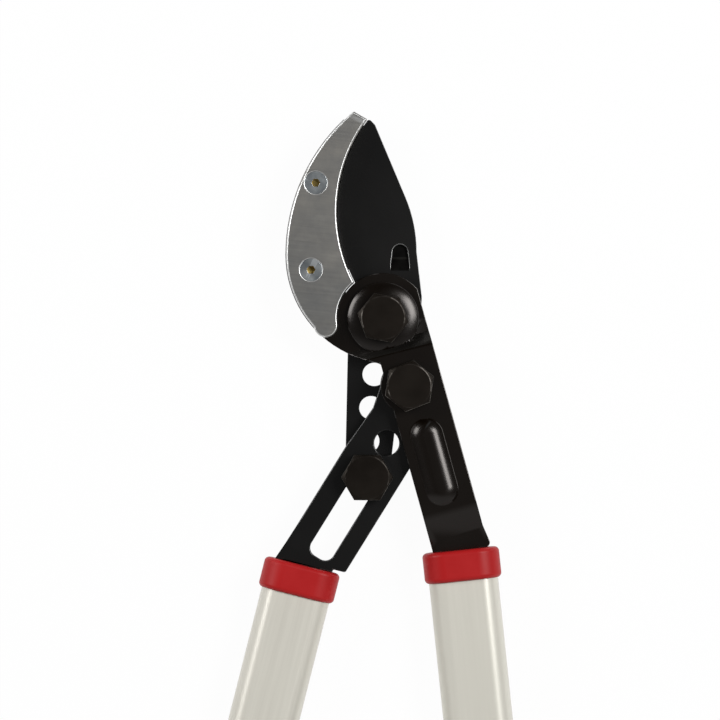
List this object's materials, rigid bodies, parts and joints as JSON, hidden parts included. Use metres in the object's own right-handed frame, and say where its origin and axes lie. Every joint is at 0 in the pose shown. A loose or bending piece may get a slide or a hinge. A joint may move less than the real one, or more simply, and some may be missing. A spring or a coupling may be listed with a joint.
{
  "type": "anvil_lopper",
  "caption": "Two-handed anvil lopper with a curved blade that closes on a soft anvil, geared by a slotted drive lever between two long tube handles",
  "frame": {"origin": "On the axis of the main pivot, at the back end face of the main bolt, which is the plane the tool lies on", "axes": "+X to the right of the picture, across the handles; +Y up the picture, from the handles to the jaws; +Z from the rest plane to the face seen in the picture"},
  "size_m": [0.2944, 0.7358, 0.0296],
  "materials": {
    "black_paint": "satin",
    "black_bolt": "satin",
    "anvil_alloy": "brushed",
    "zinc": "satin",
    "bearing_bronze": "satin",
    "red_plastic": "matte",
    "tube_alloy": "satin",
    "dark_plastic": "matte",
    "grip_rubber": "matte"
  },
  "bodies": {
    "anvil_side": {"anvil_arm": "black_paint", "anvil": "anvil_alloy", "anvil_screws": "zinc", "main_bolt": "black_bolt", "main_bush": "bearing_bronze", "main_spring": "zinc", "main_washer": "zinc", "main_nut": "zinc", "lever_bolt": "black_bolt", "lever_bush": "bearing_bronze", "lever_washer": "zinc", "lever_nut": "zinc", "right_collar": "red_plastic", "right_tube": "tube_alloy", "right_insert": "dark_plastic", "right_rivets": "zinc", "right_grip": "grip_rubber", "right_end_cap": "dark_plastic"},
    "lever_side": {"drive_lever": "black_paint", "left_collar": "red_plastic", "left_tube": "tube_alloy", "left_insert": "dark_plastic", "left_rivets": "zinc", "left_grip": "grip_rubber", "left_end_cap": "dark_plastic"},
    "cutting_blade": {"blade": "black_paint"},
    "slide_pin": {"slide_bolt": "black_bolt", "slide_bush": "bearing_bronze", "slide_washer": "zinc", "slide_nut": "zinc"}
  },
  "joints": [
    {"name": "lever_pivot", "type": "hinge", "parent": "anvil_side", "child": "lever_side", "pos_m": [0.011, -0.0285, 0.0143], "axis": [0, 0, -1], "range_deg": [0, 45]},
    {"name": "blade_pivot", "type": "hinge", "parent": "anvil_side", "child": "cutting_blade", "pos_m": [0, 0, 0.009], "axis": [0, 0, -1], "range_deg": [0, 37.8]},
    {"name": "slide_travel", "type": "slide", "parent": "lever_side", "child": "slide_pin", "axis": [-0.527, -0.8499, 0], "range_m": [0, 0.018]}
  ],
  "couplings": [
    {"joint": "blade_pivot", "follows": "lever_pivot", "ratio": 0.84},
    {"joint": "slide_travel", "follows": "lever_pivot", "m_per_rad": 0.0228}
  ]
}
